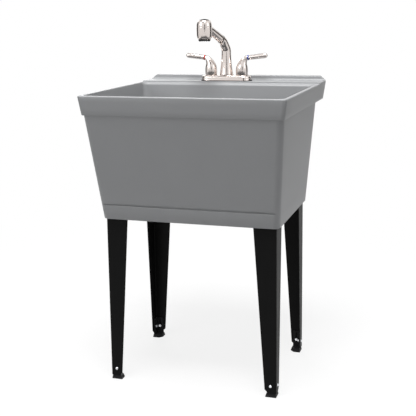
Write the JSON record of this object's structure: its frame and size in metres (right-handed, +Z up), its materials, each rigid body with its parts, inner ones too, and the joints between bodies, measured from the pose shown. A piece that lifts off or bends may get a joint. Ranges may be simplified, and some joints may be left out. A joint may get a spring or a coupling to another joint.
{
  "type": "utility laundry sink",
  "caption": "Freestanding plastic laundry tub on angle legs, with a rear faucet ledge, a two-lever faucet with a pull-out spray, a basket strainer drain and levelling feet.",
  "frame": {"origin": "on the floor under the middle of the footprint, level with the undersides of the feet", "axes": "+Z up, +X to the user's right, +Y towards the back; the basin's front lip faces -Y"},
  "size_m": [0.581, 0.597, 1.0382],
  "materials": {
    "tub": "satin moulded polypropylene, granite grey",
    "leg": "black powder coat on sheet steel",
    "foot": "black moulded nylon",
    "zinc": "bright zinc plate",
    "stainless": "brushed stainless steel",
    "rubber": "matt black rubber",
    "white_plastic": "white moulded plastic",
    "nickel": "brushed nickel plate",
    "brass": "machined brass",
    "hot_mark": "red enamel ring",
    "cold_mark": "blue enamel ring",
    "black_plastic": "black soft-touch plastic"
  },
  "bodies": {
    "sink": {"tub_end_walls": "tub", "tub_side_walls": "tub", "tub_end_aprons": "tub", "tub_side_aprons": "tub", "tub_floor": "tub", "leg_sockets": "tub", "ledge_deck": "tub", "ledge_back": "tub", "ledge_ends": "tub", "back_curb": "tub", "leg_front_left": "leg", "leg_front_right": "leg", "leg_rear_left": "leg", "leg_rear_right": "leg", "foot_bolts": "zinc", "foot_nuts": "zinc", "leg_screws": "zinc", "drain_flange": "stainless", "drain_upper_seal": "rubber", "drain_lower_seal": "rubber", "drain_locknut": "white_plastic", "tailpiece": "white_plastic", "tailpiece_washer": "rubber", "tailpiece_nut": "white_plastic", "faucet_gasket": "rubber", "faucet_plate": "nickel", "hot_valve": "brass", "cold_valve": "brass", "shank_washers": "white_plastic", "shank_nuts": "white_plastic", "centre_shank": "brass", "centre_washer": "white_plastic", "centre_nut": "brass"},
    "spout": {"spout_column": "nickel", "spout_seals": "rubber", "spout_clip": "zinc", "docking_ring": "black_plastic"},
    "wand": {"spray_wand": "nickel", "hose_fitting": "brass", "spray_bell": "nickel", "spray_face": "rubber", "button_spring": "zinc"},
    "button": {"spray_button": "black_plastic"},
    "hot_control": {"hot_stem": "brass", "hot_handle": "nickel", "hot_ring": "hot_mark", "handle_screw_hot": "zinc"},
    "cold_control": {"cold_stem": "brass", "cold_handle": "nickel", "cold_ring": "cold_mark", "handle_screw_cold": "zinc"},
    "strainer": {"strainer_basket": "stainless", "strainer_knob": "stainless"},
    "foot_front_left": {"foot_front_left": "foot"},
    "foot_front_right": {"foot_front_right": "foot"},
    "foot_rear_left": {"foot_rear_left": "foot"},
    "foot_rear_right": {"foot_rear_right": "foot"}
  },
  "joints": [
    {"name": "hot_valve_turn", "type": "hinge", "parent": "sink", "child": "hot_control", "pos_m": [-0.0688, 0.2315, 0.86075], "axis": [0, 0, 1], "range_deg": [0, 90]},
    {"name": "cold_valve_turn", "type": "hinge", "parent": "sink", "child": "cold_control", "pos_m": [0.0328, 0.2315, 0.86075], "axis": [0, 0, -1], "range_deg": [0, 90]},
    {"name": "spout_swivel", "type": "hinge", "parent": "sink", "child": "spout", "pos_m": [-0.018, 0.2315, 0.86075], "axis": [0, 0, 1], "range_deg": [-65, 115]},
    {"name": "wand_pullout", "type": "slide", "parent": "spout", "child": "wand", "axis": [-0.3623, -0.7769, 0.515], "range_m": [0, 0.15]},
    {"name": "spray_button_press", "type": "slide", "parent": "wand", "child": "button", "axis": [0, 0, -1], "range_m": [0, 0.002], "stiffness_N_per_m": 800, "springref_m": -0.002},
    {"name": "strainer_lift", "type": "slide", "parent": "sink", "child": "strainer", "axis": [0, 0, 1], "range_m": [0, 0.06]},
    {"name": "foot_front_left_adjust", "type": "slide", "parent": "sink", "child": "foot_front_left", "axis": [0, 0, 1], "range_m": [-0.02, 0]},
    {"name": "foot_front_right_adjust", "type": "slide", "parent": "sink", "child": "foot_front_right", "axis": [0, 0, 1], "range_m": [-0.02, 0]},
    {"name": "foot_rear_left_adjust", "type": "slide", "parent": "sink", "child": "foot_rear_left", "axis": [0, 0, 1], "range_m": [-0.02, 0]},
    {"name": "foot_rear_right_adjust", "type": "slide", "parent": "sink", "child": "foot_rear_right", "axis": [0, 0, 1], "range_m": [-0.02, 0]}
  ]
}
